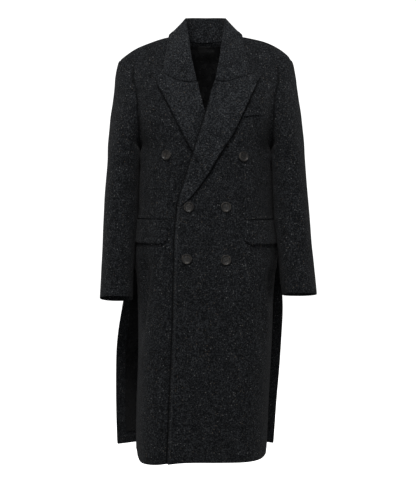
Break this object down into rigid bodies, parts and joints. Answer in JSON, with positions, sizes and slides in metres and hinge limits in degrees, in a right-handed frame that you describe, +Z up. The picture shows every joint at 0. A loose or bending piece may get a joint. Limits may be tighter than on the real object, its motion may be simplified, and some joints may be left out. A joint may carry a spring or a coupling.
{
  "type": "double-breasted chesterfield overcoat",
  "caption": "Long straight double-breasted tweed overcoat with wide peak lapels, flapped hip pockets, padded shoulders, plain sleeves and open side vents, in its worn form.",
  "frame": {"origin": "midway between the high points of the shoulders at the base of the neck, where the wearer holds the coat up", "axes": "+X towards the wearer's left, -Y towards the front, +Z up"},
  "size_m": [0.602, 0.3387, 1.2337],
  "materials": {
    "tweed": "heavy flecked woollen tweed, charcoal black",
    "lining": "smooth black twill",
    "horn": "dark polished horn"
  },
  "bodies": {
    "root": {"front_left": "tweed", "front_right": "tweed", "back": "tweed", "back_lining": "lining", "sleeve_left": "tweed", "sleeve_right": "tweed", "lapel_left": "tweed", "lapel_right": "tweed", "collar": "tweed", "collar_stand": "tweed", "flap_left": "tweed", "flap_right": "tweed", "jet_left": "tweed", "jet_right": "tweed", "breast_welt": "tweed", "button_top_right": "horn", "button_top_left": "horn", "button_middle_right": "horn", "button_middle_left": "horn", "button_low_right": "horn", "button_low_left": "horn"}
  },
  "joints": []
}
